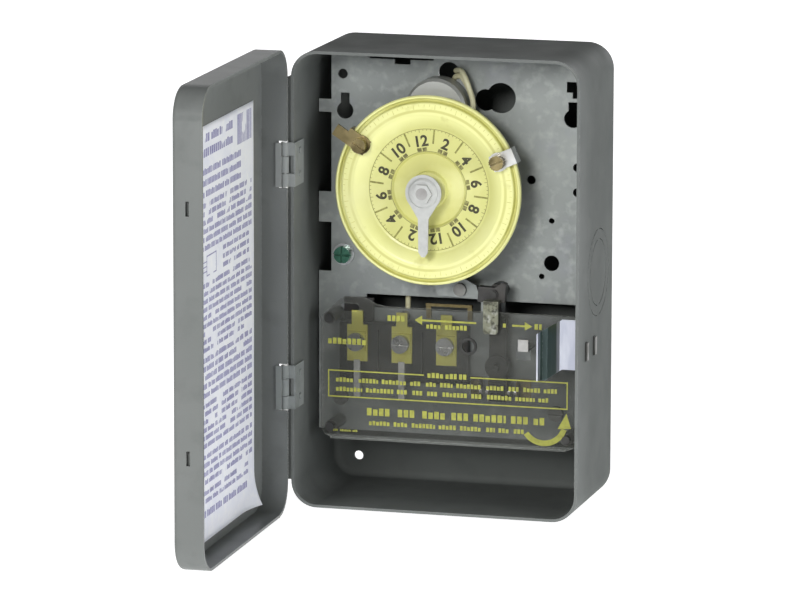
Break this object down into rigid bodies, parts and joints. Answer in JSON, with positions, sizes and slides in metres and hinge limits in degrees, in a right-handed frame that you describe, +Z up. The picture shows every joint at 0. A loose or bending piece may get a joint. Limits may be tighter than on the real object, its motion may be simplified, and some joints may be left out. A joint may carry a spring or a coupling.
{
  "type": "mechanical time switch",
  "caption": "Wall-mounted 24-hour mechanical time switch: steel case with hinged door, turning dial with trippers, hand lever, terminals and insulating shield.",
  "frame": {"origin": "centre of the case's back face, on the wall", "axes": "+Z up, +X to the right seen from the front, the front faces -Y, door stored open at 89 degrees"},
  "size_m": [0.1378, 0.1921, 0.197],
  "materials": {
    "grey_paint": "satin grey enamel",
    "hinge_steel": "grey enamel over steel",
    "bright_steel": "bright zinc plate",
    "plate_steel": "dull zinc plate",
    "spring_steel": "bright rolled strip",
    "green_screw": "green dyed plating",
    "can_aluminium": "satin drawn can",
    "motor_steel": "plain steel",
    "bobbin": "dark moulding",
    "enamel_wire": "varnished copper winding",
    "rotor_magnet": "sintered magnet",
    "dial_yellow": "satin pale yellow enamel",
    "gear_brass": "machined",
    "brass": "dull tarnished brass",
    "silver": "silver contact buttons",
    "phenolic": "black phenolic",
    "smoked_sheet": "smoked insulating sheet",
    "lead_jacket": "cream wire jacket",
    "label_paper": "matt printed label"
  },
  "bodies": {
    "case": {"case_body": "grey_paint", "door_stop_strip": "grey_paint", "hinge_case_leaves": "hinge_steel", "hinge_pins": "bright_steel", "hinge_rivets": "hinge_steel", "mechanism_plate": "plate_steel", "plate_standoffs": "bright_steel", "plate_screws": "bright_steel", "ground_cup_washer": "bright_steel", "ground_screw": "green_screw", "ground_nut": "bright_steel", "catch_base": "spring_steel", "motor_can": "can_aluminium", "motor_base": "motor_steel", "motor_screws": "bright_steel", "coil_bobbin": "bobbin", "field_coil": "enamel_wire", "centre_post": "motor_steel", "pointer_hand": "can_aluminium", "pointer_washer": "can_aluminium", "pointer_nut": "can_aluminium", "dial_spring": "bright_steel", "lever_stud": "bright_steel", "lever_retainer": "bright_steel", "dial_bracket": "plate_steel", "bracket_rivet": "bright_steel", "terminal_board": "phenolic", "terminal_plates": "brass", "wire_saddles": "brass", "terminal_screws": "brass", "terminal_links": "brass", "carrier_stud": "bright_steel", "fixed_blades": "brass", "fixed_contacts": "silver", "bus_bar": "brass", "insulator_shield": "smoked_sheet", "shield_grommet": "bright_steel", "shield_posts": "bright_steel", "shield_rivets": "bright_steel", "shield_hook": "bright_steel", "motor_leads": "lead_jacket"},
    "door": {"door_panel": "grey_paint", "hinge_door_leaves": "hinge_steel", "door_label": "label_paper"},
    "catch": {"catch_leaf": "spring_steel"},
    "dial_slider": {"dial_sleeve": "motor_steel"},
    "dial": {"dial_disc": "dial_yellow", "dial_gear": "gear_brass"},
    "on_trip": {"on_tripper": "brass"},
    "on_screw": {"on_tripper_screw": "brass"},
    "off_trip": {"off_tripper": "brass"},
    "off_screw": {"off_tripper_screw": "brass"},
    "pinion": {"output_pinion": "gear_brass"},
    "rotor": {"motor_rotor": "rotor_magnet"},
    "lever": {"lever_cam": "phenolic", "hand_lever": "bright_steel"},
    "carrier": {"contact_carrier": "phenolic", "moving_blades": "brass", "moving_contacts": "silver"}
  },
  "joints": [
    {"name": "door_hinge", "type": "hinge", "parent": "case", "child": "door", "pos_m": [-0.0642, -0.0643, 0], "axis": [0, 0, 1], "range_deg": [-88, 89]},
    {"name": "catch_flex", "type": "hinge", "parent": "case", "child": "catch", "pos_m": [0.06025, -0.05355, -0.0265], "axis": [0, 0, 1], "range_deg": [0, 20], "stiffness_Nm_per_rad": 0.2},
    {"name": "dial_pull", "type": "slide", "parent": "case", "child": "dial_slider", "axis": [0, -1, 0], "range_m": [0, 0.003], "stiffness_N_per_m": 900, "springref_m": -0.001, "deforming": ["dial_spring"]},
    {"name": "dial_turn", "type": "hinge", "parent": "dial_slider", "child": "dial", "pos_m": [-0.0067, -0.047, 0.038], "axis": [0, -1, 0], "continuous": true},
    {"name": "pinion_turn", "type": "hinge", "parent": "case", "child": "pinion", "pos_m": [-0.0067, -0.043, 0.07046], "axis": [0, -1, 0], "continuous": true},
    {"name": "rotor_turn", "type": "hinge", "parent": "case", "child": "rotor", "pos_m": [-0.0067, -0.033, 0.07046], "axis": [0, -1, 0], "continuous": true},
    {"name": "on_trip_set", "type": "hinge", "parent": "dial", "child": "on_trip", "pos_m": [-0.0067, -0.0506, 0.038], "axis": [0, -1, 0], "range_deg": [-50, 100]},
    {"name": "off_trip_set", "type": "hinge", "parent": "dial", "child": "off_trip", "pos_m": [-0.0067, -0.0506, 0.038], "axis": [0, -1, 0], "range_deg": [-100, 50]},
    {"name": "on_screw_turn", "type": "hinge", "parent": "on_trip", "child": "on_screw", "pos_m": [-0.03505, -0.053, 0.05641], "axis": [0, -1, 0], "continuous": true},
    {"name": "off_screw_turn", "type": "hinge", "parent": "off_trip", "child": "off_screw", "pos_m": [0.02418, -0.053, 0.05175], "axis": [0, -1, 0], "continuous": true},
    {"name": "lever_turn", "type": "hinge", "parent": "case", "child": "lever", "pos_m": [0.02, -0.0425, -0.006], "axis": [0, -1, 0], "range_deg": [-11, 11]},
    {"name": "carrier_turn", "type": "hinge", "parent": "case", "child": "carrier", "pos_m": [0.02, -0.0325, -0.038], "axis": [0, -1, 0], "range_deg": [-7.2, 7.2]}
  ],
  "couplings": [
    {"joint": "pinion_turn", "follows": "dial_turn", "ratio": -8},
    {"joint": "carrier_turn", "follows": "lever_turn", "ratio": -0.641}
  ]
}
